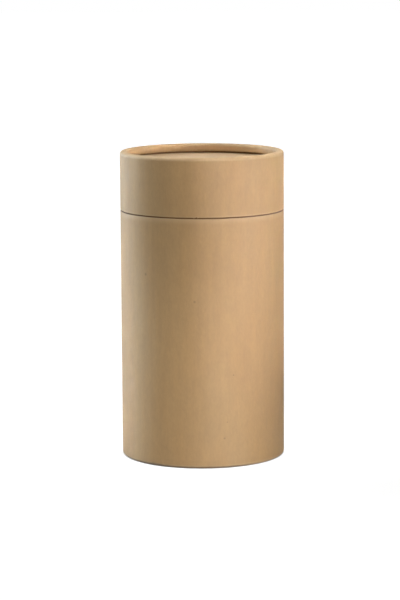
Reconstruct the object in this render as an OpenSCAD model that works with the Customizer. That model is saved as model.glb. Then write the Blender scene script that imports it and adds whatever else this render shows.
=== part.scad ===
// Round kraft cardboard box with a slip-on lid, standing on its rolled foot.
// The origin is the centre of the foot, and +Z is up along the tube's axis.
// The body and the lid are cut from one size of tube, so their outsides are flush.
// A thinner neck tube glued inside the body carries the lid.

/* [Box] */
// Outside diameter of the body and the lid
outer_d = 83; // [60:1:130]
// Height of the closed box, from the foot to the top of the lid's rolled rim
overall_h = 155.5; // [100:0.5:260]
// Height of the lid, from its cut edge to the top of its rolled rim
lid_h = 29.6; // [20:0.1:50]

/* [Board] */
// Wall thickness of the body tube and the lid tube
tube_t = 1.2; // [0.8:0.1:1.6]
// Wall thickness of the neck tube
neck_t = 1.2; // [0.8:0.1:2]
// Thickness of the lid disc and the base disc
disc_t = 1.5; // [1:0.1:3]

/* [Rolled edges] */
// Outside diameter of the rolled edge at the lid's top and the body's foot
roll_d = 4; // [3.6:0.1:6]
// Angle that the board turns through in the roll, from the outside wall inwards
roll_turn = 280; // [220:5:290]
// Height pressed flat on the foot's roll where it stands
foot_flat = 0.12; // [0.04:0.02:0.3]

/* [Fits] */
// Gap left between the lid's cut edge and the body's cut edge
seam_gap = 0.4; // [0.2:0.1:1.2]
// Radial clearance of the neck in the lid tube, and its glue line in the body tube
neck_clearance = 0.15; // [0.1:0.05:0.4]
// Radial clearance round the edge of each disc
disc_clearance = 0.05; // [0.02:0.01:0.2]
// Gap between the lid disc and the rolled rim above it
lid_disc_drop = 0.7; // [0.1:0.1:2]
// Gap between the base disc and the rolled foot under it
base_disc_rise = 0.05; // [0.02:0.01:0.5]
// Gap between the neck's top edge and the lid disc above it
neck_top_gap = 5; // [1:0.5:8]
// Bevel that the cutter leaves on each cut edge
edge_break = 0.2; // [0.05:0.05:0.35]

/* [Hidden] */

kraft = [0.76, 0.60, 0.43];
round_fn = 180;
roll_fn = 64;

outer_r = outer_d / 2;
tube_bore_r = outer_r - tube_t;
roll_r = roll_d / 2;

// The seam between the body and the lid
lid_edge_z = overall_h - lid_h;
body_edge_z = lid_edge_z - seam_gap;

// The two discs
disc_r = tube_bore_r - disc_clearance;
base_disc_z = roll_d - foot_flat + base_disc_rise;
lid_disc_z = overall_h - roll_d - lid_disc_drop - disc_t;

// The neck stands on the base disc
neck_r = tube_bore_r - neck_clearance;
neck_bottom_z = base_disc_z + disc_t;
neck_top_z = lid_disc_z - neck_top_gap;

// Section of the rolled edge: board bent round a circle centred on the origin.
// It starts at the outside wall, on the +X side, and turns over the top and inwards.
module roll_section() {
    reach = 2 * roll_d;
    difference() {
        circle(r = roll_r, $fn = roll_fn);
        circle(r = roll_r - tube_t, $fn = roll_fn);
        polygon([
            [0, 0],
            [reach, 0],
            [reach, -reach],
            reach * [cos(roll_turn), sin(roll_turn)]
        ]);
    }
}

// Section of a tube wall whose top edge is rolled inwards.
// The cut edge is at height 0 and the top of the roll at height h.
module rolled_wall_section(h) {
    polygon([
        [tube_bore_r + edge_break, 0],
        [outer_r - edge_break, 0],
        [outer_r, edge_break],
        [outer_r, h - roll_r],
        [tube_bore_r, h - roll_r],
        [tube_bore_r, edge_break]
    ]);
    translate([outer_r - roll_r, h - roll_r]) roll_section();
}

// Outer tube of the body, with its foot rolled inwards and pressed flat underneath
module body_tube() {
    color(kraft)
        rotate_extrude($fn = round_fn)
            intersection() {
                translate([0, body_edge_z])
                    mirror([0, 1])
                        rolled_wall_section(body_edge_z + foot_flat);
                square([outer_d, overall_h]);
            }
}

// Disc that closes the body, resting on the rolled foot
module base_disc() {
    color(kraft)
        translate([0, 0, base_disc_z])
            cylinder(r = disc_r, h = disc_t, $fn = round_fn);
}

// Inner tube glued in the body, whose top stands out as the neck that the lid slides over
module neck_tube() {
    color(kraft)
        rotate_extrude($fn = round_fn)
            polygon([
                [neck_r - neck_t, neck_bottom_z],
                [neck_r, neck_bottom_z],
                [neck_r, neck_top_z - edge_break],
                [neck_r - edge_break, neck_top_z],
                [neck_r - neck_t + edge_break, neck_top_z],
                [neck_r - neck_t, neck_top_z - edge_break]
            ]);
}

// Outer tube of the lid, with its top edge rolled inwards as the rim
module lid_tube() {
    color(kraft)
        translate([0, 0, lid_edge_z])
            rotate_extrude($fn = round_fn) rolled_wall_section(lid_h);
}

// Disc that closes the lid, glued in just under the rolled rim
module lid_disc() {
    color(kraft)
        translate([0, 0, lid_disc_z])
            cylinder(r = disc_r, h = disc_t, $fn = round_fn);
}

body_tube();
base_disc();
neck_tube();
lid_tube();
lid_disc();
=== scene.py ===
"""Round kraft cardboard box with a slip-on lid: its five pieces of board, their paper and a small studio.

Lengths are in metres, and the box stands on the floor with its axis on +Z.
The front is towards -Y. An angle on the tube is counted from the front, positive to the right.
"""

import math

import bpy
import numpy as np
from bpy.props import FloatProperty, FloatVectorProperty, IntProperty, PointerProperty
from mathutils import Matrix, Vector


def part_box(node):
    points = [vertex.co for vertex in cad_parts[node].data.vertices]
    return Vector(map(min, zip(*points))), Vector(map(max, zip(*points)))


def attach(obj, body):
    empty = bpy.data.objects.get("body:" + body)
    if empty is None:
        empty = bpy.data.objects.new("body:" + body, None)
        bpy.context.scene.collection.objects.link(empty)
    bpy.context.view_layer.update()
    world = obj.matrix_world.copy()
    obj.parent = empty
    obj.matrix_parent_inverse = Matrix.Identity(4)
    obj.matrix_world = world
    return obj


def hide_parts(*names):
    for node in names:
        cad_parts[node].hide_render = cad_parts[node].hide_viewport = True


bl_info = {
    "name": "Round kraft box",
    "version": (1, 0, 0),
    "blender": (4, 5, 0),
    "location": "View3D > Sidebar > Kraft box",
    "description": "Builds a round kraft cardboard box with a slip-on lid, and the studio it stands in",
    "category": "Add Mesh",
}

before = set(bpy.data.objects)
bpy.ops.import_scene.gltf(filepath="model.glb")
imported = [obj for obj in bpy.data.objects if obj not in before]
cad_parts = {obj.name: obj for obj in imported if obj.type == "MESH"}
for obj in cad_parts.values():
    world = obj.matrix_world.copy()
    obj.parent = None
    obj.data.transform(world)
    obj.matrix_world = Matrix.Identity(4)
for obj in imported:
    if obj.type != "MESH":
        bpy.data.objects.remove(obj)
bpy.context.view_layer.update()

MM = 0.001
# Keeps a length off zero before it divides
TINY = 1e-9

# What the frame says about the five pieces
BODY_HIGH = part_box("body_tube")[1]
LID_LOW, LID_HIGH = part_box("lid_tube")
NECK_LOW, NECK_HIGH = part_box("neck_tube")
BASE_LOW, BASE_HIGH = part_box("base_disc")
TOP_LOW, TOP_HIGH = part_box("lid_disc")
OUTER_RADIUS = BODY_HIGH.x
MIDDLE_HEIGHT = LID_HIGH.z / 2

# Grid rows up each wall and across a disc's face, and grid columns round a disc
BODY_WALL_ROWS = 44
LID_WALL_ROWS = 26
NECK_WALL_ROWS = 60
FACE_ROWS = 60
DISC_COLUMNS = 360
# Grid rows of the smaller parts of a section
ROLL_ROWS = 64
ROLL_END_ROWS = 8
INNER_ARC_ROWS = 22
CREVICE_ROWS = 3
BORE_ROWS = 8
CORNER_ROWS = 6
CUT_ROWS = 5
DISC_CORNER_ROWS = 5
DISC_EDGE_ROWS = 4
# Grid columns lie closer together round the torn fibres: half width of the place, and how much closer
CLOSE_WIDTH = math.radians(5)
CLOSE_GAIN = 3
# Steps for each column in the sum that spaces them
FINE_STEPS = 8

# Waves that make the board uneven: the fewest and most whole waves round the tube, the steepest slope
# along the axis in radians a metre, or from a disc's middle to its edge in radians, and how many
# cosines are added up where it isn't the usual number
SWELL = {"rounds": (2, 5), "slope": 12}
RIPPLE = {"rounds": (24, 64), "slope": 90, "count": 48}
PLEATS = {"rounds": (70, 130)}
TUBE_EDGE = {"rounds": (2, 30)}
NECK_EDGE = {"rounds": (2, 24)}
COCKLE = {"rounds": (2, 5), "slope": 6}
# Seeds of those waves. A rolled tube draws from four seeds in a row, and the neck tube from three.
BODY_SEED = 11
LID_SEED = 23
NECK_SEED = 31
BASE_DISC_SEED = 41
LID_DISC_SEED = 43

# How far down the bore the crevice beside the roll goes, from the roll's middle. The roll's painted shade
# makes it dark.
CREVICE = 2.7 * MM
# How far from a cut edge its wander has died out
WANDER_FADE = 4 * MM
# Pleats: how much of the waves counts as one, how sharp they are, and where on the roll they deepen
PLEAT_LIFT = 0.1
PLEAT_POWER = 1.5
PLEAT_START, PLEAT_END = 0.35, 0.75
# How high above a tube's cut edge the paper is rubbed and paled by a painted highlight, fully and at all,
# and how strongly painted shade darkens the cut edge
LIP_FULL, LIP_END = 0.2 * MM, 0.65 * MM
CUT_SHADE = 0.85
# A disc's soft corner, and the height of the cockles in its face
DISC_CORNER = 0.2 * MM
COCKLE_HEIGHT = 0.012 * MM
# The side where the lid disc sits lowest, at the back right
TILT_TOWARDS = math.radians(140)

# Two burrs where torn fibres bridge the seam, and a nick between them: angle from the front,
# half width along the edge, and how far each reaches down. Then the angle in their middle.
BURRS = (
    (math.radians(-5.55), 0.32 * MM, 0.36 * MM),
    (math.radians(-2.97), 0.26 * MM, 0.3 * MM),
    (math.radians(-3.85), 0.4 * MM, -0.32 * MM),
)
BURR_CENTRE = math.radians(-4.2)
# How far up from the lid's edge a burr pulls the paper with it
BURR_PULL = 0.6 * MM
# Where the wrap laps over itself, on the body and on the lid, half the width of the step there, and
# how far from it the wrap has come up again
BODY_LAP = math.radians(158)
LID_LAP = math.radians(-151)
LAP_EDGE = 0.12 * MM
LAP_FADE = 9 * MM

# Painted shade on the foot, in dark grey: height where it starts to fade and where it ends, and the same
# for its faint rest
FOOT_SHADE_LOW, FOOT_SHADE_HIGH = 0.4 * MM, 1.6 * MM
FAINT_LOW, FAINT_HIGH = 1.4 * MM, 2.4 * MM
FAINT_FOOT_SHADE = 0.18
# Where the painted shade is strongest, at the front left: angle, half width and rise. Then its level all
# round, and what is added to it there.
FOOT_SHADE_SIDE = math.radians(-37)
FOOT_SHADE_WIDTH = math.radians(12)
FOOT_SHADE_RISE = 0.4 * MM
FOOT_SHADE_LEVEL = 0.88
FOOT_SHADE_EXTRA = 0.12
# How much weaker it is on the right, and the sines of the angle between which that sets in
FOOT_SHADE_LOSS = 0.6
LOSS_START, LOSS_FULL = 0.2, 0.8
# Painted shade on the neck at the seam: strength, distance where it starts to fade and where it ends, and
# how deep inside the neck's outside it is still put
SEAM_SHADE = 0.95
SEAM_SHADE_LOW, SEAM_SHADE_HIGH = 0.5 * MM, 1.3 * MM
SEAM_SHADE_DEPTH = 0.1 * MM

# How the sidebar shows a small length
SMALL = {"precision": 5, "unit": "LENGTH"}


class KraftBoxSizes(bpy.types.PropertyGroup):
    """Sizes of the board, its rolled edges and its small unevenness"""

    tube_wall: FloatProperty(
        name="Tube wall", description="Wall thickness of the body tube and the lid tube",
        default=1.2 * MM, min=0.8 * MM, max=1.6 * MM, **SMALL)
    neck_wall: FloatProperty(
        name="Neck wall", description="Wall thickness of the neck tube",
        default=1.2 * MM, min=0.8 * MM, max=2 * MM, **SMALL)
    roll_radius: FloatProperty(
        name="Roll radius", description="Outside radius of the rolled rim and the rolled foot",
        default=2 * MM, min=1.8 * MM, max=3 * MM, **SMALL)
    roll_turn: FloatProperty(
        name="Roll turn", description="Angle that the board turns through in the roll",
        default=math.radians(280), min=math.radians(220), max=math.radians(290), unit="ROTATION")
    roll_power: FloatProperty(
        name="Roll power",
        description="Squareness of the roll's outer side: 2 is round, and more is squarer",
        default=2.8, min=2, max=6)
    inner_power: FloatProperty(
        name="Inner power",
        description="Squareness of the roll's inner side: 2 is round, and more is squarer",
        default=5, min=2, max=8)
    foot_flat: FloatProperty(
        name="Foot flat", description="Height pressed flat on the foot's roll",
        default=0.12 * MM, min=0, max=0.3 * MM, **SMALL)
    edge_rounding: FloatProperty(
        name="Edge rounding", description="Radius of the soft corner along each cut edge",
        default=0.14 * MM, min=0.05 * MM, max=0.35 * MM, **SMALL)
    swell: FloatProperty(
        name="Swell", description="How far the board swells in and out of a true circle",
        default=0.02 * MM, min=0, max=0.05 * MM, **SMALL)
    ripple: FloatProperty(
        name="Ripple", description="Height of the upright ripples that winding leaves in the paper",
        default=0.012 * MM, min=0, max=0.04 * MM, **SMALL)
    pleat_depth: FloatProperty(
        name="Pleat depth", description="Depth of the pleats that rolling presses into the board",
        default=0.03 * MM, min=0, max=0.15 * MM, **SMALL)
    lap_step: FloatProperty(
        name="Lap step", description="Step where the paper wrap laps over itself at the back",
        default=0.09 * MM, min=0, max=0.2 * MM, **SMALL)
    edge_wander: FloatProperty(
        name="Edge wander", description="How far the cut edges wander up and down",
        default=0.05 * MM, min=0, max=0.1 * MM, **SMALL)
    disc_dish: FloatProperty(
        name="Disc dish", description="How far the middle of each disc bows inwards",
        default=0.12 * MM, min=0, max=0.4 * MM, **SMALL)
    disc_tilt: FloatProperty(
        name="Disc tilt",
        description="How far the lid disc's edge is lower at the back right than in the middle",
        default=0.25 * MM, min=0, max=0.5 * MM, **SMALL)
    columns: IntProperty(
        name="Columns", description="Number of grid columns round each tube",
        default=560, min=64, max=720)


class KraftBoxColours(bpy.types.PropertyGroup):
    """Colours of the paper"""

    wrap: FloatVectorProperty(
        name="Wrap", description="Kraft paper on the outside of the body and the lid",
        default=(0.494, 0.301, 0.132), size=3, min=0, max=1, subtype="COLOR")
    disc: FloatVectorProperty(
        name="Disc", description="Kraft paper on the two discs",
        default=(0.485, 0.303, 0.15), size=3, min=0, max=1, subtype="COLOR")
    core: FloatVectorProperty(
        name="Core", description="Board of the neck tube and of the cut edges",
        default=(0.42, 0.25, 0.115), size=3, min=0, max=1, subtype="COLOR")
    # Painted highlight: this paler paper lights the roll's outer shoulder, and with real rubbing the lip
    # along the cut edges
    highlight_and_rub: FloatVectorProperty(
        name="Worn",
        description="Paler paper where it is rubbed, on the rolled rim and along the cut edges",
        default=(0.66, 0.47, 0.28), size=3, min=0, max=1, subtype="COLOR")
    # Painted shade: this deep brown darkens under the roll and in the seam, where shade falls
    shade_brown: FloatVectorProperty(
        name="Crevice", description="Deep brown where glue and dust gather, under the roll and in the seam",
        default=(0.19, 0.08, 0.02), size=3, min=0, max=1, subtype="COLOR")
    # Painted shade: this dark grey darkens the foot's roll where it stands, most at the front left
    foot_shade: FloatVectorProperty(
        name="Scuff", description="Greyed paper under the foot, where it stands",
        default=(0.13, 0.1, 0.075), size=3, min=0, max=1, subtype="COLOR")
    fleck: FloatVectorProperty(
        name="Fleck", description="Dark fibres in the paper",
        default=(0.16, 0.09, 0.045), size=3, min=0, max=1, subtype="COLOR")


class KraftBoxStudio(bpy.types.PropertyGroup):
    """The camera and the level of the light"""

    camera_distance: FloatProperty(
        name="Camera distance", description="Level distance from the box's axis to the camera",
        default=1.24341, min=0.3, max=5, unit="LENGTH")
    camera_height: FloatProperty(
        name="Camera height", description="Height of the camera above the floor",
        default=0.27142, min=0, max=2, unit="LENGTH")
    camera_pitch: FloatProperty(
        name="Camera pitch", description="Angle that the camera looks down by",
        default=math.radians(8.8052), unit="ROTATION")
    camera_turn: FloatProperty(
        name="Camera turn", description="Angle that the camera looks to the right by",
        default=math.radians(-0.0612), unit="ROTATION")
    camera_roll: FloatProperty(
        name="Camera roll", description="Angle that the camera leans by",
        default=math.radians(-0.3411), unit="ROTATION")
    lens: FloatProperty(
        name="Lens", description="Focal length in millimetres on a 36 mm frame",
        default=147.83, min=20, max=300)
    lamp_level: FloatProperty(
        name="Lamp level", description="Factor on the power of every lamp",
        default=1, min=0, max=4)
    room_light: FloatProperty(
        name="Room light", description="Strength of the light that comes evenly from all round",
        default=0.04, min=0, max=1)


def periodic_waves(angles, heights, seed, rounds, slope=0, count=24):
    """Smooth unevenness of about -1 to 1 on a tube.

    A sum of cosines over twice its root mean square. Each has a whole number of waves round the
    tube, so that the sum closes on itself, and a slope along the axis and a phase of its own.
    """
    draw = np.random.default_rng(seed)
    turns = draw.integers(rounds[0], rounds[1] + 1, count)[:, None, None]
    slopes = draw.uniform(-slope, slope, count)[:, None, None]
    phases = draw.uniform(0, 2 * math.pi, count)[:, None, None]
    field = np.cos(turns * angles[None] + slopes * heights[None] + phases).sum(axis=0)
    return field / math.sqrt(count / 2) / 2


def smooth_step(value, low, high):
    """0 below low, 1 above high, and a cubic with level ends between them."""
    share = np.clip((value - low) / (high - low), 0, 1)
    return share * share * (3 - 2 * share)


def column_angles(count, centre, width, gain):
    """Angles once round the tube, closer together by the gain near one centre.

    The density is 1 plus the gain times a bell curve of the width round the centre.
    Its running sum is turned round, so that equal steps of the sum give the angles.
    """
    fine = np.linspace(-math.pi, math.pi, FINE_STEPS * count + 1)
    density = 1 + gain * np.exp(-((fine / width) ** 2))
    reach = np.concatenate(([0], np.cumsum((density[1:] + density[:-1]) / 2)))
    steps = np.linspace(0, reach[-1], count, endpoint=False)
    return np.interp(steps, reach, fine) + centre


def straight(start, end, count):
    """Equal steps along a straight line of (r, z), both ends included."""
    share = np.linspace(0, 1, count)[:, None]
    return np.array(start) * (1 - share) + np.array(end) * share


def arc(centre, radius, first, last, count):
    """Equal steps of angle along a circle's arc, in the plane of r and z."""
    turn = np.linspace(first, last, count)[:, None]
    return np.array(centre) + radius * np.hstack((np.cos(turn), np.sin(turn)))


def pressed_arc(centre, radius, last, power, inner_power, count):
    """Equal steps of angle from 0 round a roll that is pressed a little square.

    It is a superellipse: the sizes of the two coordinates, each raised to the power, add up to the
    radius raised to the power. The inner power holds on the quarter that faces inwards and back
    along the tube, and what comes after that quarter is round.
    """
    turn = np.linspace(0, last, count)[:, None]
    bend = np.where(turn < math.pi, power, np.where(turn < 1.5 * math.pi, inner_power, 2))
    grown = (np.abs(np.cos(turn)) ** bend + np.abs(np.sin(turn)) ** bend) ** (-1 / bend)
    return np.array(centre) + radius * grown * np.hstack((np.cos(turn), np.sin(turn)))


def rolled_section(low, high, sizes, wall_rows):
    """Closed section of a tube wall, with its cut edge at the height low and its top rolled in at high.

    The line goes up the outside, round the outside of the roll, across the board's end,
    back along the inner arc, down the bore and across the cut edge, so its surface faces out.
    Returns the (r, z) rows, the share of the roll's turn at each row, and 1 on the cut edge's rows.
    """
    outer, wall, roll = OUTER_RADIUS, sizes.tube_wall, sizes.roll_radius
    turn, soft = sizes.roll_turn, sizes.edge_rounding
    bore, crown = outer - wall, high - roll
    centre = (outer - roll, crown)
    end_middle = arc(centre, roll - wall / 2, turn, turn, 1)[0]
    # Lines, each with 1 where the roll's share grows along it or -1 where it is full, and 1 on the cut
    parts = (
        (straight((outer, low + soft), (outer, crown), wall_rows)[:-1], 0, 0),
        (pressed_arc(centre, roll, turn, sizes.roll_power, sizes.inner_power, ROLL_ROWS), 1, 0),
        (arc(end_middle, wall / 2, turn, turn + math.pi, ROLL_END_ROWS)[1:-1], -1, 0),
        (arc(centre, roll - wall, turn, 0, INNER_ARC_ROWS), -1, 0),
        (straight((bore, crown), (bore, crown - CREVICE), CREVICE_ROWS)[1:], -1, 0),
        (straight((bore, crown - CREVICE), (bore, low + soft), BORE_ROWS)[1:-1], 0, 0),
        (arc((bore + soft, low + soft), soft, math.pi, 1.5 * math.pi, CORNER_ROWS), 0, 1),
        (straight((bore + soft, low), (outer - soft, low), CUT_ROWS)[1:-1], 0, 1),
        (arc((outer - soft, low + soft), soft, 1.5 * math.pi, 2 * math.pi, CORNER_ROWS)[:-1], 0, 1),
    )
    rows = np.vstack([line for line, _, _ in parts])
    on_roll = np.concatenate([
        np.linspace(0, 1, len(line)) if side > 0 else np.full(len(line), -side, float)
        for line, side, _ in parts
    ])
    on_cut = np.concatenate([np.full(len(line), cut, float) for line, _, cut in parts])
    return rows, on_roll, on_cut


def joined(parts):
    """The rows of all parts of a section in one array, and each row's number for its part."""
    rows = np.vstack([line for line, _ in parts])
    numbers = np.concatenate([np.full(len(line), number, float) for line, number in parts])
    return rows, numbers


def tube_section(low, high, outer, wall, soft, wall_rows):
    """Closed section of a plain tube wall with soft corners, and 1 on the rows of its two cut edges."""
    bore = outer - wall
    quarter = math.pi / 2
    parts = (
        (straight((outer, low + soft), (outer, high - soft), wall_rows)[:-1], 0),
        (arc((outer - soft, high - soft), soft, 0, quarter, CORNER_ROWS), 1),
        (straight((outer - soft, high), (bore + soft, high), CUT_ROWS)[1:-1], 1),
        (arc((bore + soft, high - soft), soft, quarter, 2 * quarter, CORNER_ROWS), 1),
        (straight((bore, high - soft), (bore, low + soft), wall_rows)[1:-1], 0),
        (arc((bore + soft, low + soft), soft, 2 * quarter, 3 * quarter, CORNER_ROWS), 1),
        (straight((bore + soft, low), (outer - soft, low), CUT_ROWS)[1:-1], 1),
        (arc((outer - soft, low + soft), soft, 3 * quarter, 4 * quarter, CORNER_ROWS)[:-1], 1),
    )
    return joined(parts)


def disc_section(low, high, outer, soft, face_rows):
    """Section of a disc from the middle of its underside, round its edge, to the middle of its top.

    The two ends lie near the axis but not on it: the mesh closes them with a pole each.
    """
    inner = outer / face_rows
    quarter = math.pi / 2
    parts = (
        (straight((inner, low), (outer - soft, low), face_rows)[:-1], 0),
        (arc((outer - soft, low + soft), soft, -quarter, 0, DISC_CORNER_ROWS), 1),
        (straight((outer, low + soft), (outer, high - soft), DISC_EDGE_ROWS)[1:-1], 1),
        (arc((outer - soft, high - soft), soft, 0, quarter, DISC_CORNER_ROWS), 1),
        (straight((outer - soft, high), (inner, high), face_rows)[1:], 0),
    )
    return joined(parts)


def even_angles(count):
    """Angles once round the tube in equal steps."""
    return np.linspace(-math.pi, math.pi, count, endpoint=False)


def turned(rows, angles):
    """Radius, height and angle of every grid point: each row of a section at each column's angle."""
    radii = np.repeat(rows[:, :1], len(angles), axis=1)
    heights = np.repeat(rows[:, 1:], len(angles), axis=1)
    around = np.repeat(angles[None, :], len(rows), axis=0)
    return radii, heights, around


def revolved(radii, heights, angles):
    """Points of a surface of revolution: each radius and height turned to its column's angle."""
    return np.stack((radii * np.sin(angles), -radii * np.cos(angles), heights), axis=-1)


def grid_quads(rows, columns, closed):
    """Quads of a grid whose columns close into a ring, and whose rows do too if closed, all facing out."""
    row, column = np.meshgrid(np.arange(rows if closed else rows - 1), np.arange(columns), indexing="ij")
    above, beside = (row + 1) % rows, (column + 1) % columns
    corners = (
        row * columns + column,
        row * columns + beside,
        above * columns + beside,
        above * columns + column,
    )
    return np.stack(corners, axis=-1).reshape(-1, 4)


def pole_fan(ring, pole, upward):
    """Triangles from a ring of points to one pole, facing up or down."""
    beside = np.roll(ring, -1)
    middle = np.full_like(ring, pole)
    return np.stack((ring, beside, middle) if upward else (middle, beside, ring), axis=-1)


def add_object(name, data):
    """A new object in the scene's own collection."""
    made = bpy.data.objects.new(name, data)
    bpy.context.scene.collection.objects.link(made)
    return made


def add_piece(name, points, faces, masks, material):
    """A mesh object from whole arrays, shaded smooth, with one number for each point in each mask."""
    mesh = bpy.data.meshes.new(name)
    mesh.from_pydata(points.reshape(-1, 3).tolist(), [], faces)
    for mask, values in masks.items():
        mesh.attributes.new(mask, "FLOAT", "POINT").data.foreach_set("value", values.astype(np.float32))
    mesh.shade_smooth()
    mesh.materials.append(material)
    mesh.update()
    return add_object(name, mesh)


def lap(angles, radius, place, step):
    """How far the wrap sinks beside its lap: the full step at the lap's edge, then fading out."""
    along = radius * ((angles - place + math.pi) % (2 * math.pi) - math.pi)
    return step * smooth_step(along, -LAP_EDGE, LAP_EDGE) * (1 - smooth_step(along, LAP_EDGE, LAP_FADE))


def pleats(angles, seed):
    """Pleats of 0 to 1 round a roll: the waves plus the lift, kept where that is above 0, to a power."""
    field = periodic_waves(angles, np.zeros_like(angles), seed, **PLEATS)
    return np.clip(field + PLEAT_LIFT, 0, None) ** PLEAT_POWER


def uneven_radii(radii, heights, around, sizes, seed):
    """The radii moved by the swell and the ripple, each times its waves less 1, so only ever inwards."""
    swell = sizes.swell * (periodic_waves(around, heights, seed, **SWELL) - 1)
    ripple = sizes.ripple * (periodic_waves(around, heights, seed + 1, **RIPPLE) - 1)
    return radii + swell + ripple


def rolled_tube(low, high, sizes, wall_rows, seed, place_of_lap):
    """Surface of a tube with its top rolled in, by height and angle.

    The section turns round the axis. Each point then moves along the radius by the unevenness, less
    the wrap's lap, and along the roll's own radius by the pleats, which deepen towards the roll's end.
    The rows near the cut edge move up by the edge's wander.
    """
    rows, on_roll, on_cut = rolled_section(low, high, sizes, wall_rows)
    angles = column_angles(sizes.columns, BURR_CENTRE, CLOSE_WIDTH, CLOSE_GAIN)
    radii, heights, around = turned(rows, angles)
    radii = uneven_radii(radii, heights, around, sizes, seed)
    outside = (rows[:, 0] > OUTER_RADIUS - sizes.tube_wall / 2)[:, None]
    radii -= lap(around, OUTER_RADIUS, place_of_lap, sizes.lap_step) * outside
    centre = np.array((OUTER_RADIUS - sizes.roll_radius, high - sizes.roll_radius))
    from_centre = rows - centre
    outward = from_centre / np.maximum(np.linalg.norm(from_centre, axis=1, keepdims=True), TINY)
    deepened = smooth_step(on_roll, PLEAT_START, PLEAT_END)[:, None]
    folded = sizes.pleat_depth * pleats(around, seed + 2) * deepened
    radii -= outward[:, :1] * folded
    heights -= outward[:, 1:] * folded
    near_edge = 1 - smooth_step(rows[:, 1] - low, 0, WANDER_FADE)
    waves = periodic_waves(angles, np.zeros_like(angles), seed + 3, **TUBE_EDGE)
    wander = sizes.edge_wander * (waves + 1) / 2
    heights += near_edge[:, None] * wander
    # The lip: rubbed paper with a painted highlight
    lip = 1 - smooth_step(rows[:, 1] - low, LIP_FULL, LIP_END)
    # Painted shade on the cut edges' rows, which darkens the seam
    masks = {"cut": on_cut, "roll": on_roll, "lip": lip, "shade": CUT_SHADE * on_cut}
    return rows, radii, heights, around, masks


def painted_foot_shade(above_floor, around):
    """How strongly painted shade darkens the foot, 0 to 1, by the height above the floor and the angle.

    It is the larger of two fades by height: a strong one, raised by a bell curve over the angle at
    the front left, and a faint one that reaches higher. That is then multiplied by a level, which
    the bell curve adds to and which drops where the angle's sine is high, on the right.
    """
    shaded_side = np.exp(-(((around - FOOT_SHADE_SIDE) / FOOT_SHADE_WIDTH) ** 2))
    strong = 1 - smooth_step(above_floor - FOOT_SHADE_RISE * shaded_side, FOOT_SHADE_LOW, FOOT_SHADE_HIGH)
    faint = FAINT_FOOT_SHADE * (1 - smooth_step(above_floor, FAINT_LOW, FAINT_HIGH))
    loss = FOOT_SHADE_LOSS * smooth_step(np.sin(around), LOSS_START, LOSS_FULL)
    return np.maximum(strong, faint) * (FOOT_SHADE_LEVEL + FOOT_SHADE_EXTRA * shaded_side - loss)


def uneven_disc(low, high, outer, dish, tilt, seed):
    """Surface of a disc, by radius and angle: its section turned round the axis, bowed and cockled.

    The bow is the dish times one less the squared share of the radius, the same on both faces.
    The tilt lowers each point by its share of the radius towards the tilt's own direction.
    """
    rows, on_cut = disc_section(low, high, outer, DISC_CORNER, FACE_ROWS)
    radii, heights, around = turned(rows, even_angles(DISC_COLUMNS))
    share = radii / outer
    cockle = periodic_waves(around, share, seed, **COCKLE) * share ** 2
    heights = heights + dish * (1 - share ** 2) + COCKLE_HEIGHT * cockle
    heights -= tilt * share * np.cos(around - TILT_TOWARDS)
    points = revolved(radii, heights, around).reshape(-1, 3)
    first_ring = np.arange(DISC_COLUMNS)
    last_ring = first_ring + (len(rows) - 1) * DISC_COLUMNS
    poles = np.array(((0, 0, low + dish), (0, 0, high + dish)))
    faces = grid_quads(len(rows), DISC_COLUMNS, closed=False).tolist()
    faces += pole_fan(first_ring, len(points), upward=False).tolist()
    faces += pole_fan(last_ring, len(points) + 1, upward=True).tolist()
    mask = np.concatenate((np.repeat(on_cut, DISC_COLUMNS), (0, 0)))
    return np.vstack((points, poles)), faces, mask


# Range that a noise mostly keeps to, and the narrower one that is taken for slow drifts
NOISE_RANGE = (0.3, 0.7)
DRIFT_RANGE = (0.32, 0.68)
# Noises in the paper: scale in waves a metre, detail, roughness and the scale of each axis
DRIFT = (38, 3)
HUE = (70, 2, 0.5, (1, 1, 0.3))
CLOUD = (260, 4, 0.6, (1, 1, 0.45))
MOTTLE = (620, 2, 0.6, (1, 1, 0.7))
FIBRE = (1150, 3, 0.55, (1, 1, 0.4))
STREAK = (330, 2, 0.5, (1, 1, 0.08))
# How far each of them makes the tone darker and lighter
DRIFT_SWING = 0.025
CLOUD_SWING = 0.038
FIBRE_SWING = 0.034
STREAK_SWING = 0.025
# Casts that the hue drifts between
WARM_CAST = (1.013, 0.997, 0.972, 1)
COOL_CAST = (0.987, 1.003, 1.028, 1)
# Flecks in the paper: cells a metre, radius, share of the cells, the scale of each axis and strength
FINE_FLECKS = (300, 0.14 * MM, 0.4, (1, 1, 0.5), 0.22)
BOLD_FLECKS = (110, 0.3 * MM, 0.3, (1, 1, 0.7), 0.2)
PALE_FLECKS = (340, 0.13 * MM, 0.35, (1, 1, 0.4), 0.16)
PALE_FACTOR = 1.5
# Flecks that show on the front of the body: angle from the front, height and radius
BODY_FLECKS = (
    (math.radians(-43), 96.6 * MM, 0.9 * MM),
    (math.radians(-5.5), 84.2 * MM, 0.8 * MM),
    (math.radians(21.5), 46.9 * MM, 0.55 * MM),
    (math.radians(14.8), 15.1 * MM, 0.7 * MM),
    (math.radians(16.8), 23.3 * MM, 0.5 * MM),
)
SPOT_STRENGTH = 0.4
# Share of the radius or half width that is full strength in a fleck, a chosen spot and the neck's joint
FLECK_CORE = 0.4
SPOT_CORE = 0.35
JOINT_CORE = 0.4
# Painted highlight, in paler paper, on the roll's outer shoulder: shares of its turn where it sets in and
# where part of it goes, and strengths. The last is the lip's, rubbed paper with a painted highlight.
SHOULDER_START, SHOULDER_FULL = 0, 0.06
SHOULDER_FADE, SHOULDER_END = 0.16, 0.28
SHOULDER_HIGHLIGHT = 0.3
SHOULDER_LOSS = 0.18
LIP_RUB_AND_HIGHLIGHT = 0.3
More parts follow.
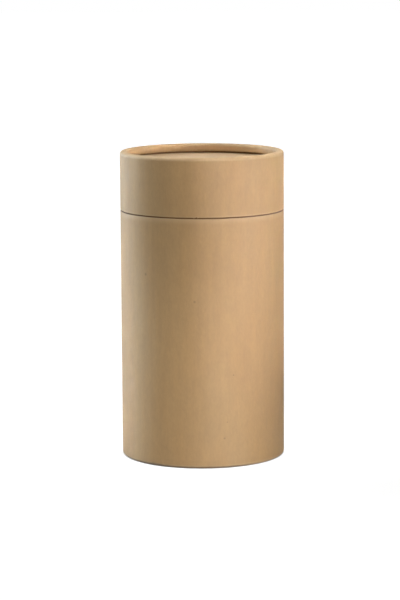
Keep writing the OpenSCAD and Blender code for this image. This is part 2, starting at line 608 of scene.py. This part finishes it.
# Painted shade, dark brown, under the roll: shares of its turn where it sets in, and its strength
UNDER_START, UNDER_FULL = 0.84, 0.95
UNDER_SHADE = 0.85
# How strongly the painted shade on the foot shows
FOOT_SHADE_STRENGTH = 0.75
# Plies on the cut edges: spacing, the noise and distance that they wobble by, and the darkest and lightest
PLY = 0.3 * MM
PLY_NOISE = 700
PLY_WOBBLE = 0.05 * MM
PLY_DARK, PLY_LIGHT = 0.5, 0.8
# Joint of the strips that the neck is wound from: rise in one turn, half width, start in turns, how
# strongly it shows, how dark it is and how deep it lies in the grain
JOINT_HELIX = (109 * MM, 0.45 * MM, 0.2)
JOINT_STRENGTH = 0.45
JOINT_DARK = 0.5
JOINT_DEPTH = 2
# The grain: weight of each noise in its height, the height of 1, and the paper's roughness
FIBRE_GRAIN = 0.6
CLOUD_GRAIN = 2.4
MOTTLE_GRAIN = 1.8
GRAIN_HEIGHT = 0.039 * MM
SMOOTHEST, ROUGHEST = 0.55, 0.66
# Gloss of the wraps and the discs, and of the neck
WRAP_GLOSS = 0.5
NECK_GLOSS = 0.2


class PaperNodes:
    """Adds nodes to one tree. Each method but add returns the socket that it makes."""

    def __init__(self, tree):
        self.tree = tree
        self.place = self.add("ShaderNodeTexCoord").outputs["Object"]

    def add(self, kind, values=None, **settings):
        """A node with its settings made, and each named or numbered input given a value or a link."""
        made = self.tree.nodes.new(kind)
        for name, value in settings.items():
            setattr(made, name, value)
        for key, value in (values or {}).items():
            if isinstance(value, bpy.types.NodeSocket):
                self.tree.links.new(value, made.inputs[key])
            else:
                made.inputs[key].default_value = value
        return made

    def maths(self, operation, first, second=0.0):
        """One step of arithmetic."""
        return self.add("ShaderNodeMath", {0: first, 1: second}, operation=operation).outputs[0]

    def times(self, first, second):
        """The product of two numbers."""
        return self.maths("MULTIPLY", first, second)

    def plus(self, first, second):
        """The sum of two numbers."""
        return self.maths("ADD", first, second)

    def minus(self, first, second):
        """The first number less the second."""
        return self.maths("SUBTRACT", first, second)

    def larger(self, first, second):
        """The larger of two numbers."""
        return self.maths("MAXIMUM", first, second)

    def remap(self, value, low, high, to_low, to_high):
        """The value's range low to high, carried to another range and held there."""
        values = {"Value": value, "From Min": low, "From Max": high, "To Min": to_low, "To Max": to_high}
        return self.add("ShaderNodeMapRange", values, clamp=True).outputs[0]

    def vector(self, operation, first, second=(0, 0, 0)):
        """One step of arithmetic on vectors or colours. A length or a distance comes out as a number."""
        made = self.add("ShaderNodeVectorMath", {0: first, 1: second}, operation=operation)
        return made.outputs["Value" if operation in ("LENGTH", "DISTANCE") else "Vector"]

    def blended(self, factor, first, second):
        """The first colour at 0 and the second at 1."""
        values = {0: factor, 6: first, 7: second}
        return self.add("ShaderNodeMix", values, data_type="RGBA", clamp_factor=True).outputs[2]

    def mask(self, name):
        """A number that the mesh holds at each point."""
        return self.add("ShaderNodeAttribute", attribute_name=name).outputs["Fac"]

    def stretched(self, scale):
        """The place on the piece, with each axis scaled by itself."""
        return self.add("ShaderNodeMapping", {"Vector": self.place, "Scale": scale}).outputs[0]

    def noise(self, scale, detail=3.0, roughness=0.55, stretch=(1, 1, 1)):
        """Fractal noise of about 0.3 to 0.7."""
        values = {"Scale": scale, "Detail": detail, "Roughness": roughness}
        values["Vector"] = self.stretched(stretch)
        return self.add("ShaderNodeTexNoise", values).outputs[0]

    def varied(self, colour, noise, swing):
        """The colour made darker and lighter by a noise, by as much as the swing each way."""
        factor = self.remap(noise, *NOISE_RANGE, 1 - swing, 1 + swing)
        return self.add("ShaderNodeVectorMath", {0: colour, "Scale": factor}, operation="SCALE").outputs[0]

    def flecks(self, scale, radius, share, stretch, strength):
        """Small soft spots in a share of random cells: the strength in a spot's middle, and 0 outside."""
        cells = self.add("ShaderNodeTexVoronoi", {"Vector": self.stretched(stretch), "Scale": scale})
        spot = self.remap(cells.outputs["Distance"], FLECK_CORE * radius * scale, radius * scale, 1, 0)
        number = self.add("ShaderNodeSeparateColor", {0: cells.outputs["Color"]}).outputs[0]
        chosen = self.maths("LESS_THAN", number, share)
        return self.times(self.times(spot, chosen), strength)

    def spot(self, angle, height, radius):
        """One soft spot at a chosen place on the tube's outside."""
        centre = (OUTER_RADIUS * math.sin(angle), -OUTER_RADIUS * math.cos(angle), height)
        return self.remap(self.vector("DISTANCE", self.place, centre), SPOT_CORE * radius, radius, 1, 0)

    def ply_lines(self):
        """Fine lines one board ply apart, a sine of the distance from the axis, broken up by noise."""
        wobble = self.remap(self.noise(PLY_NOISE), *NOISE_RANGE, -PLY_WOBBLE, PLY_WOBBLE)
        radius = self.vector("LENGTH", self.stretched((1, 1, 0)))
        phase = self.times(self.plus(radius, wobble), 2 * math.pi / PLY)
        return self.remap(self.maths("SINE", phase), -1, 1, 0, 1)

    def helix_joint(self, pitch, half_width, start):
        """1 on a helix round the axis and 0 away from it, the width measured along the axis."""
        axes = self.add("ShaderNodeSeparateXYZ", {0: self.place}).outputs
        turn = self.maths("DIVIDE", self.maths("ARCTAN2", axes[1], axes[0]), 2 * math.pi)
        climb = self.plus(self.plus(turn, start), self.maths("DIVIDE", axes[2], pitch))
        away = self.maths("ABSOLUTE", self.minus(self.maths("FRACT", climb), 0.5))
        return self.remap(away, JOINT_CORE * half_width / pitch, half_width / pitch, 1, 0)

    def seen_directly(self):
        """1 for rays from the camera, from gloss and through glass, and 0 for rays from matt surfaces."""
        path = self.add("ShaderNodeLightPath").outputs
        gloss = self.larger(path["Is Glossy Ray"], path["Is Transmission Ray"])
        return self.larger(path["Is Camera Ray"], gloss)


def opaque(colour, factor=1.0):
    """A colour made lighter or darker by one factor, with its alpha."""
    return tuple(min(1.0, channel * factor) for channel in colour) + (1.0,)


def new_material(name):
    """An empty material, and what adds nodes to it."""
    material = bpy.data.materials.new(name)
    material.use_nodes = True
    material.node_tree.nodes.clear()
    return material, PaperNodes(material.node_tree)


def plain_tone(sheet, colour, cloud, fibre):
    """The paper's colour with its slow drifts of tone and hue, its clouds, fibres and upright streaks."""
    drift = sheet.remap(sheet.noise(*DRIFT), *DRIFT_RANGE, 0, 1)
    tone = sheet.blended(drift, opaque(colour, 1 - DRIFT_SWING), opaque(colour, 1 + DRIFT_SWING))
    hue = sheet.remap(sheet.noise(*HUE), *DRIFT_RANGE, 0, 1)
    tone = sheet.vector("MULTIPLY", tone, sheet.blended(hue, WARM_CAST, COOL_CAST))
    tone = sheet.varied(tone, cloud, CLOUD_SWING)
    tone = sheet.varied(tone, fibre, FIBRE_SWING)
    return sheet.varied(tone, sheet.noise(*STREAK), STREAK_SWING)


def flecked_tone(sheet, tone, colour, fleck, flecks_at):
    """The tone with dark flecks, dark spots at the chosen places, and pale flecks."""
    dark = sheet.larger(sheet.flecks(*FINE_FLECKS), sheet.flecks(*BOLD_FLECKS))
    for angle, height, radius in flecks_at:
        dark = sheet.larger(dark, sheet.times(sheet.spot(angle, height, radius), SPOT_STRENGTH))
    tone = sheet.blended(dark, tone, opaque(fleck))
    return sheet.blended(sheet.flecks(*PALE_FLECKS), tone, opaque(colour, PALE_FACTOR))


def rubbed_and_painted_tone(sheet, tone, colours):
    """The tone with painted highlights on the roll's shoulder and the rubbed lips, painted shade on the
    foot, under the roll and in the seam, and plies on the cuts.
    """
    roll = sheet.mask("roll")
    # Painted highlight on the roll's shoulder, and on the rubbed lip
    shoulder = sheet.remap(roll, SHOULDER_START, SHOULDER_FULL, 0, SHOULDER_HIGHLIGHT)
    loss = sheet.remap(roll, SHOULDER_FADE, SHOULDER_END, 0, SHOULDER_LOSS)
    highlight_and_rub = sheet.larger(sheet.minus(shoulder, loss), sheet.times(sheet.mask("lip"), LIP_RUB_AND_HIGHLIGHT))
    tone = sheet.blended(highlight_and_rub, tone, opaque(colours.highlight_and_rub))
    tone = sheet.blended(sheet.times(sheet.mask("foot_shade"), FOOT_SHADE_STRENGTH), tone, opaque(colours.foot_shade))
    plies = sheet.blended(
        sheet.ply_lines(), opaque(colours.core, PLY_DARK), opaque(colours.core, PLY_LIGHT))
    tone = sheet.blended(sheet.mask("cut"), tone, plies)
    # Painted shade under the roll, and in the seam through the shade mask
    under = sheet.remap(roll, UNDER_START, UNDER_FULL, 0, UNDER_SHADE)
    return sheet.blended(sheet.larger(under, sheet.mask("shade")), tone, opaque(colours.shade_brown))


def paper(name, colours, colour, gloss=WRAP_GLOSS, flecks_at=(), joint_at=None):
    """Kraft paper: tone, flecks, rubbed lips, painted highlight and shade, a soft grain, and the joint of a
    wound strip where one is given.
    """
    material, sheet = new_material(name)
    cloud, fibre, mottle = sheet.noise(*CLOUD), sheet.noise(*FIBRE), sheet.noise(*MOTTLE)
    tone = plain_tone(sheet, colour, cloud, fibre)
    tone = flecked_tone(sheet, tone, colour, colours.fleck, flecks_at)
    tone = rubbed_and_painted_tone(sheet, tone, colours)
    grain = sheet.plus(sheet.times(fibre, FIBRE_GRAIN), sheet.times(cloud, CLOUD_GRAIN))
    grain = sheet.plus(grain, sheet.times(mottle, MOTTLE_GRAIN))
    if joint_at:
        joint = sheet.helix_joint(*joint_at)
        tone = sheet.blended(sheet.times(joint, JOINT_STRENGTH), tone, opaque(colour, JOINT_DARK))
        grain = sheet.minus(grain, sheet.times(joint, JOINT_DEPTH))
    bump = sheet.add("ShaderNodeBump", {"Strength": 1.0, "Distance": GRAIN_HEIGHT, "Height": grain})
    surface = sheet.add("ShaderNodeBsdfPrincipled", {
        "Base Color": tone,
        "Roughness": sheet.remap(cloud, *NOISE_RANGE, SMOOTHEST, ROUGHEST),
        "Normal": bump.outputs[0],
        "Specular IOR Level": gloss,
    })
    sheet.add("ShaderNodeOutputMaterial", {"Surface": surface.outputs[0]})
    return material


class KRAFTBOX_OT_body_tube(bpy.types.Operator):
    """Makes the body's outer tube, with its foot rolled in and pressed flat where it stands"""

    bl_idname = "kraftbox.body_tube"
    bl_label = "Body tube"

    def execute(self, context):
        sizes, colours = context.scene.kraftbox_sizes, context.scene.kraftbox_colours
        # Made with the roll on top, at the heights' mirror image, and then turned over
        low, high = -BODY_HIGH.z, sizes.foot_flat
        rows, radii, heights, around, masks = rolled_tube(
            low, high, sizes, BODY_WALL_ROWS, BODY_SEED, BODY_LAP)
        heights = np.maximum(-heights, 0)
        points = revolved(radii, heights, around)[::-1]
        faces = grid_quads(len(rows), sizes.columns, closed=True).tolist()
        masks = {name: np.repeat(mask[::-1], sizes.columns) for name, mask in masks.items()}
        # Painted shade on the foot, darkest at the front left and weaker on the right
        masks["foot_shade"] = painted_foot_shade((high - rows[:, 1])[:, None], around)[::-1].ravel()
        wrap = paper("kraft_body_wrap", colours, colours.wrap, flecks_at=BODY_FLECKS)
        piece = add_piece("kraft_body_tube", points, faces, masks, wrap)
        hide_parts("body_tube")
        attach(piece, "box_body")
        return {"FINISHED"}


class KRAFTBOX_OT_lid_tube(bpy.types.Operator):
    """Makes the lid's tube, with its top rolled in as the rim and torn fibres on its cut edge"""

    bl_idname = "kraftbox.lid_tube"
    bl_label = "Lid tube"

    def execute(self, context):
        sizes, colours = context.scene.kraftbox_sizes, context.scene.kraftbox_colours
        rows, radii, heights, around, masks = rolled_tube(
            LID_LOW.z, LID_HIGH.z, sizes, LID_WALL_ROWS, LID_SEED, LID_LAP)
        near_edge = 1 - smooth_step(rows[:, 1] - LID_LOW.z, 0, BURR_PULL)
        bore, middle = OUTER_RADIUS - sizes.tube_wall, OUTER_RADIUS - sizes.tube_wall / 2
        outside = smooth_step(rows[:, 0], bore, middle)
        for angle, half_width, depth in BURRS:
            along = OUTER_RADIUS * (around - angle)
            heights -= (near_edge * outside)[:, None] * depth * np.exp(-((along / half_width) ** 2))
        points = revolved(radii, heights, around)
        faces = grid_quads(len(rows), sizes.columns, closed=True).tolist()
        masks = {name: np.repeat(mask, sizes.columns) for name, mask in masks.items()}
        wrap = paper("kraft_lid_wrap", colours, colours.wrap)
        piece = add_piece("kraft_lid_tube", points, faces, masks, wrap)
        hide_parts("lid_tube")
        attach(piece, "lid")
        return {"FINISHED"}


class KRAFTBOX_OT_neck_tube(bpy.types.Operator):
    """Makes the neck tube, wound from strips of board whose joint climbs it as a helix"""

    bl_idname = "kraftbox.neck_tube"
    bl_label = "Neck tube"

    def execute(self, context):
        sizes, colours = context.scene.kraftbox_sizes, context.scene.kraftbox_colours
        rows, on_cut = tube_section(
            NECK_LOW.z, NECK_HIGH.z, NECK_HIGH.x, sizes.neck_wall, sizes.edge_rounding, NECK_WALL_ROWS)
        angles = even_angles(sizes.columns)
        radii, heights, around = turned(rows, angles)
        radii = uneven_radii(radii, heights, around, sizes, NECK_SEED)
        near_top = smooth_step(rows[:, 1:], NECK_HIGH.z - WANDER_FADE, NECK_HIGH.z)
        wander = (periodic_waves(angles, np.zeros_like(angles), NECK_SEED + 2, **NECK_EDGE) - 1) / 2
        heights = heights + near_top * sizes.edge_wander * wander
        points = revolved(radii, heights, around)
        faces = grid_quads(len(rows), sizes.columns, closed=True).tolist()
        board = paper("kraft_neck_board", colours, colours.core, NECK_GLOSS, joint_at=JOINT_HELIX)
        # Painted shade on the neck's outside at the seam, where the gap between lid and body shows it
        from_seam = np.abs(rows[:, 1] - LID_LOW.z)
        outside = rows[:, 0] > NECK_HIGH.x - SEAM_SHADE_DEPTH
        seam_shade = SEAM_SHADE * (1 - smooth_step(from_seam, SEAM_SHADE_LOW, SEAM_SHADE_HIGH)) * outside
        masks = {"cut": np.repeat(on_cut, sizes.columns), "shade": np.repeat(seam_shade, sizes.columns)}
        piece = add_piece("kraft_neck_tube", points, faces, masks, board)
        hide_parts("neck_tube")
        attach(piece, "box_body")
        return {"FINISHED"}


class KRAFTBOX_OT_discs(bpy.types.Operator):
    """Makes the disc that closes the body and the disc that closes the lid"""

    bl_idname = "kraftbox.discs"
    bl_label = "Discs"

    def execute(self, context):
        sizes, colours = context.scene.kraftbox_sizes, context.scene.kraftbox_colours
        discs = (
            ("base_disc", BASE_LOW, BASE_HIGH, "box_body", sizes.disc_dish, 0, BASE_DISC_SEED),
            ("lid_disc", TOP_LOW, TOP_HIGH, "lid", -sizes.disc_dish, sizes.disc_tilt, LID_DISC_SEED),
        )
        for node, low, high, body, dish, tilt, seed in discs:
            points, faces, mask = uneven_disc(low.z, high.z, high.x, dish, tilt, seed)
            board = paper(f"kraft_{node}_paper", colours, colours.disc)
            piece = add_piece(f"kraft_{node}", points, faces, {"cut": mask}, board)
            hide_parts(node)
            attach(piece, body)
        return {"FINISHED"}


# The camera's frame in millimetres, and the distances between which it sees
SENSOR_WIDTH = 36
NEAREST, FURTHEST = 0.05, 50
# The lamps' distance from the point that they face, and their colours
LAMP_DISTANCE = 1.5
WHITE = (1.0, 1.0, 1.0)
COOL_WHITE = (0.86, 0.97, 1.0)
SKY_WHITE = (0.76, 0.86, 1.0)
# How far above the lid the two lamps for the rim aim
RIM_LIFT = 0.012
# The studio's lamps: name, angle from the front, height angle, height that it aims at, step to its right,
# width, height, spread, colour and power in watts. A narrow spread lights one band of the box.
LAMPS = (
    ("front", 20, 12, MIDDLE_HEIGHT, 0, 0.4, 0.9, 180, WHITE, 5.63),
    ("front_strip", 40, 2, MIDDLE_HEIGHT, -0.02, 0.04, 0.4, 2, WHITE, 0.0148),
    ("right", 55, 6, MIDDLE_HEIGHT, 0, 0.5, 0.6, 180, WHITE, 4.64),
    ("right_upper", 80, 2, 0.12, 0, 0.5, 0.16, 6, WHITE, 0.1005),
    ("right_lid", 80, 2, 0.15, 0, 0.5, 0.16, 8, WHITE, 0.069),
    ("left", -115, 12, MIDDLE_HEIGHT, 0, 0.4, 0.9, 180, COOL_WHITE, 7.34),
    ("left_back", -127, 10, MIDDLE_HEIGHT, 0, 0.4, 0.9, 180, COOL_WHITE, 16.4),
    ("lid_spot", 0, 88, LID_HIGH.z, 0.012, 0.12, 0.12, 5, SKY_WHITE, 0.034),
    ("lid_left", -80, 50, LID_HIGH.z, 0, 0.1, 0.1, 4, COOL_WHITE, 0.012),
    ("rim_right", 60, 8, LID_HIGH.z + RIM_LIFT, 0, 0.3, 0.02, 2, WHITE, 0.0041),
    ("rim_front", 15, 8, LID_HIGH.z + RIM_LIFT, 0, 0.3, 0.02, 2, WHITE, 0.006),
    ("foot_middle", 10, 2, 0.03, 0, 0.5, 0.12, 4, WHITE, 0.0409),
    ("foot_left", -95, 2, 0.05, 0, 0.5, 0.12, 5, COOL_WHITE, 0.0446),
    ("foot_left_back", -120, 2, 0.03, 0, 0.3, 0.1, 4, COOL_WHITE, 0.0172),
)
# The floor: how far it reaches and how far under the foot it lies, and the grey of its matt part
FLOOR_REACH = 6.0
FLOOR_DROP = 0.02 * MM
FLOOR_GREY = 0.3
# Its glow beside the box, and the distances from the axis between which it grows to 1
GLOW_BESIDE = 0.92
GLOW_START, GLOW_END = 0.1, 0.5
# Its glow under the box and in the painted contact shadow round its foot, and the distances between which
# that ends
GLOW_UNDER = 0.1
CONTACT_START, CONTACT_END = OUTER_RADIUS - 1.5 * MM, OUTER_RADIUS + 0.6 * MM
# Painted shadow that gloss sees on it near the box: how much darker, and the distances between which that
# ends
GLOSS_LOSS = 0.9
GLOSS_START, GLOSS_END = 0.15, 0.75


def add_camera(studio):
    """A camera in front of the box, turned right by the turn, down by the pitch and round by the roll."""
    turn, pitch, lean = studio.camera_turn, studio.camera_pitch, studio.camera_roll
    ahead = Vector((math.sin(turn) * math.cos(pitch), math.cos(turn) * math.cos(pitch), -math.sin(pitch)))
    level = Vector((math.cos(turn), -math.sin(turn), 0))
    above = level.cross(ahead)
    right = level * math.cos(lean) + above * math.sin(lean)
    up = above * math.cos(lean) - level * math.sin(lean)
    data = bpy.data.cameras.new("camera")
    data.lens = studio.lens
    data.sensor_width = SENSOR_WIDTH
    data.clip_start, data.clip_end = NEAREST, FURTHEST
    camera = add_object("camera", data)
    axes = Matrix((right, up, -ahead)).transposed().to_4x4()
    camera.matrix_world = Matrix.Translation((0, -studio.camera_distance, studio.camera_height)) @ axes
    bpy.context.scene.camera = camera


def add_lamp(name, angle, rise, aim, shift, width, height, spread, colour, power):
    """A rectangular soft lamp on a sphere round the height that it faces, then moved sideways."""
    data = bpy.data.lights.new(name, "AREA")
    data.shape = "RECTANGLE"
    data.size, data.size_y = width, height
    data.spread = math.radians(spread)
    data.color = colour
    data.energy = power
    lamp = add_object(name, data)
    turn, lift = math.radians(angle), math.radians(rise)
    away = Vector((math.sin(turn) * math.cos(lift), -math.cos(turn) * math.cos(lift), math.sin(lift)))
    sideways = Vector((math.cos(turn), math.sin(turn), 0))
    lamp.location = Vector((0, 0, aim)) + LAMP_DISTANCE * away + shift * sideways
    lamp.rotation_mode = "QUATERNION"
    lamp.rotation_quaternion = away.to_track_quat("Z", "Y")


def add_floor():
    """A wide white floor just under the foot. It takes shadows, and its own glow keeps it white elsewhere.

    The glow is by distance from the axis: dark under the box and in a thin painted contact shadow round its
    foot, nearly white beside it and white further off. Gloss sees the floor darker near the box, a painted
    shadow in its reflections.
    """
    corners = [
        (x * FLOOR_REACH, y * FLOOR_REACH, -FLOOR_DROP) for x, y in ((-1, -1), (1, -1), (1, 1), (-1, 1))]
    mesh = bpy.data.meshes.new("floor")
    mesh.from_pydata(corners, [], [(0, 1, 2, 3)])
    material, sheet = new_material("white_floor")
    matt = sheet.add("ShaderNodeBsdfDiffuse", {"Color": (FLOOR_GREY, FLOOR_GREY, FLOOR_GREY, 1)})
    away = sheet.vector("LENGTH", sheet.place)
    glow = sheet.remap(away, GLOW_START, GLOW_END, GLOW_BESIDE, 1)
    glow = sheet.times(glow, sheet.remap(away, CONTACT_START, CONTACT_END, GLOW_UNDER, 1))
    in_gloss = sheet.add("ShaderNodeLightPath").outputs["Is Glossy Ray"]
    shaded = sheet.times(in_gloss, sheet.remap(away, GLOSS_START, GLOSS_END, GLOSS_LOSS, 0))
    glow = sheet.times(glow, sheet.minus(1, shaded))
    light = sheet.add("ShaderNodeEmission", {"Strength": sheet.times(glow, sheet.seen_directly())})
    both = sheet.add("ShaderNodeAddShader", {0: matt.outputs[0], 1: light.outputs[0]})
    sheet.add("ShaderNodeOutputMaterial", {"Surface": both.outputs[0]})
    mesh.materials.append(material)
    floor = add_object("floor", mesh)


def add_room(strength):
    """Even light from all round, and a white background where a direct look goes past the floor."""
    world = bpy.data.worlds.new("room")
    bpy.context.scene.world = world
    world.use_nodes = True
    world.node_tree.nodes.clear()
    sheet = PaperNodes(world.node_tree)
    level = sheet.remap(sheet.seen_directly(), 0, 1, strength, 1)
    light = sheet.add("ShaderNodeBackground", {"Color": (*WHITE, 1), "Strength": level})
    sheet.add("ShaderNodeOutputWorld", {"Surface": light.outputs[0]})


class KRAFTBOX_OT_studio(bpy.types.Operator):
    """Makes the camera, the lamps, the white floor and the even light of the room"""

    bl_idname = "kraftbox.studio"
    bl_label = "Studio"

    def execute(self, context):
        studio = context.scene.kraftbox_studio
        add_camera(studio)
        for name, *place, power in LAMPS:
            add_lamp(name, *place, power * studio.lamp_level)
        add_floor()
        add_room(studio.room_light)
        context.scene.view_settings.view_transform = "Standard"
        return {"FINISHED"}


PIECES = (
    KRAFTBOX_OT_body_tube,
    KRAFTBOX_OT_neck_tube,
    KRAFTBOX_OT_lid_tube,
    KRAFTBOX_OT_discs,
)


class KRAFTBOX_PT_sidebar(bpy.types.Panel):
    """Lists the box's sizes, colours and pieces, and the studio"""

    bl_idname = "KRAFTBOX_PT_sidebar"
    bl_label = "Round kraft box"
    bl_space_type = "VIEW_3D"
    bl_region_type = "UI"
    bl_category = "Kraft box"

    def draw(self, context):
        for holder in GROUPS:
            group = getattr(context.scene, holder)
            box = self.layout.box()
            for name in group.__annotations__:
                box.prop(group, name)
        for operator in (*PIECES, KRAFTBOX_OT_studio):
            self.layout.operator(operator.bl_idname)


GROUPS = {
    "kraftbox_sizes": KraftBoxSizes,
    "kraftbox_colours": KraftBoxColours,
    "kraftbox_studio": KraftBoxStudio,
}
CLASSES = (*GROUPS.values(), *PIECES, KRAFTBOX_OT_studio, KRAFTBOX_PT_sidebar)


def register():
    for made in CLASSES:
        bpy.utils.register_class(made)
    for name, group in GROUPS.items():
        setattr(bpy.types.Scene, name, PointerProperty(type=group))


def unregister():
    for name in GROUPS:
        delattr(bpy.types.Scene, name)
    for made in reversed(CLASSES):
        bpy.utils.unregister_class(made)


def main():
    register()
    bpy.ops.kraftbox.body_tube()
    bpy.ops.kraftbox.neck_tube()
    bpy.ops.kraftbox.lid_tube()
    bpy.ops.kraftbox.discs()
    bpy.ops.kraftbox.studio()


if __name__ == "__main__":
    main()
